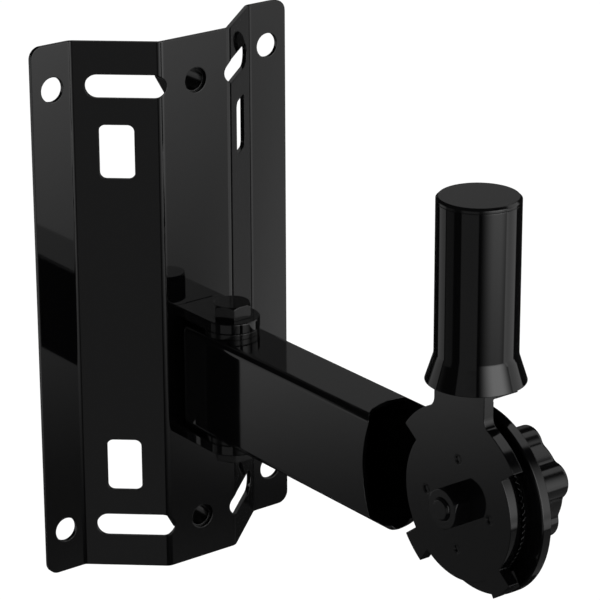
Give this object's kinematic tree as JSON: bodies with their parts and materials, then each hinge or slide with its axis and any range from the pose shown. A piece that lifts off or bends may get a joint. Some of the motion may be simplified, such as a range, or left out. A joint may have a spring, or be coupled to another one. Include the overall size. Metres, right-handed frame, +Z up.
{
  "type": "speaker wall bracket",
  "caption": "Wall bracket for a loudspeaker: folded wall plate, swivelling box arm, toothed tilt joint closed by a star knob, and an upright spigot.",
  "frame": {"origin": "middle of the wall plate, on the plane that touches the wall", "axes": "+X along the wall to the right for someone facing it, +Y into the wall, +Z up; the arm reaches out along -Y and the spigot points up along +Z"},
  "size_m": [0.139, 0.2616, 0.253],
  "materials": {
    "wall_plate_coat": "high-gloss black coat on sheet steel",
    "nut_steel": "welded steel nut under the same black coat",
    "arm_coat": "high-gloss black coat on sheet steel",
    "swivel_tube_steel": "steel tube under the black coat",
    "bush_plastic": "moulded black bearing plastic",
    "bolt_black": "black plated steel, gloss",
    "disc_coat": "high-gloss black coat on steel plate",
    "ring_steel": "black toothed steel, gloss",
    "rivet_steel": "black coated steel, gloss",
    "washer_black": "black plated steel, gloss",
    "spigot_plate_coat": "high-gloss black coat on steel plate",
    "spigot_coat": "high-gloss black coat on steel tube",
    "core_steel": "turned steel plug under the black coat",
    "cap_plastic": "black moulded plastic, gloss",
    "knob_plastic": "black moulded plastic, gloss",
    "insert_steel": "turned steel insert"
  },
  "bodies": {
    "wall_mount": {"wall_plate": "wall_plate_coat", "upper_weld_nut": "nut_steel", "lower_weld_nut": "nut_steel", "upper_ear": "wall_plate_coat", "lower_ear": "wall_plate_coat", "swivel_bolt": "bolt_black", "swivel_nut": "bolt_black"},
    "arm": {"arm": "arm_coat", "swivel_tube": "swivel_tube_steel", "upper_swivel_bush": "bush_plastic", "lower_swivel_bush": "bush_plastic", "arm_joint_disc": "disc_coat", "arm_toothed_ring": "ring_steel", "arm_ring_rivets": "rivet_steel", "knob_washer": "washer_black"},
    "clamp": {"clamp_bolt": "bolt_black", "clamp_nut": "bolt_black"},
    "spigot": {"spigot_plate": "spigot_plate_coat", "spigot_toothed_ring": "ring_steel", "spigot_ring_rivets": "rivet_steel", "spigot_tube": "spigot_coat", "spigot_core": "core_steel", "spigot_cap": "cap_plastic", "spigot_screws": "bolt_black"},
    "knob": {"knob_body": "knob_plastic", "knob_insert": "insert_steel"}
  },
  "joints": [
    {"name": "arm_swivel", "type": "hinge", "parent": "wall_mount", "child": "arm", "pos_m": [0, -0.0533, -0.03], "axis": [0, 0, 1], "range_deg": [-90, 90]},
    {"name": "knob_turn", "type": "hinge", "parent": "arm", "child": "knob", "pos_m": [0.02, -0.22, -0.03], "axis": [-1, 0, 0], "range_deg": [0, 360]},
    {"name": "clamp_travel", "type": "slide", "parent": "arm", "child": "clamp", "axis": [1, 0, 0], "range_m": [0, 0.0015]},
    {"name": "spigot_tilt", "type": "hinge", "parent": "clamp", "child": "spigot", "pos_m": [-0.005, -0.22, -0.03], "axis": [1, 0, 0], "range_deg": [-45, 45]}
  ],
  "couplings": [
    {"joint": "knob_turn", "follows": "clamp_travel", "rad_per_m": 4188}
  ]
}
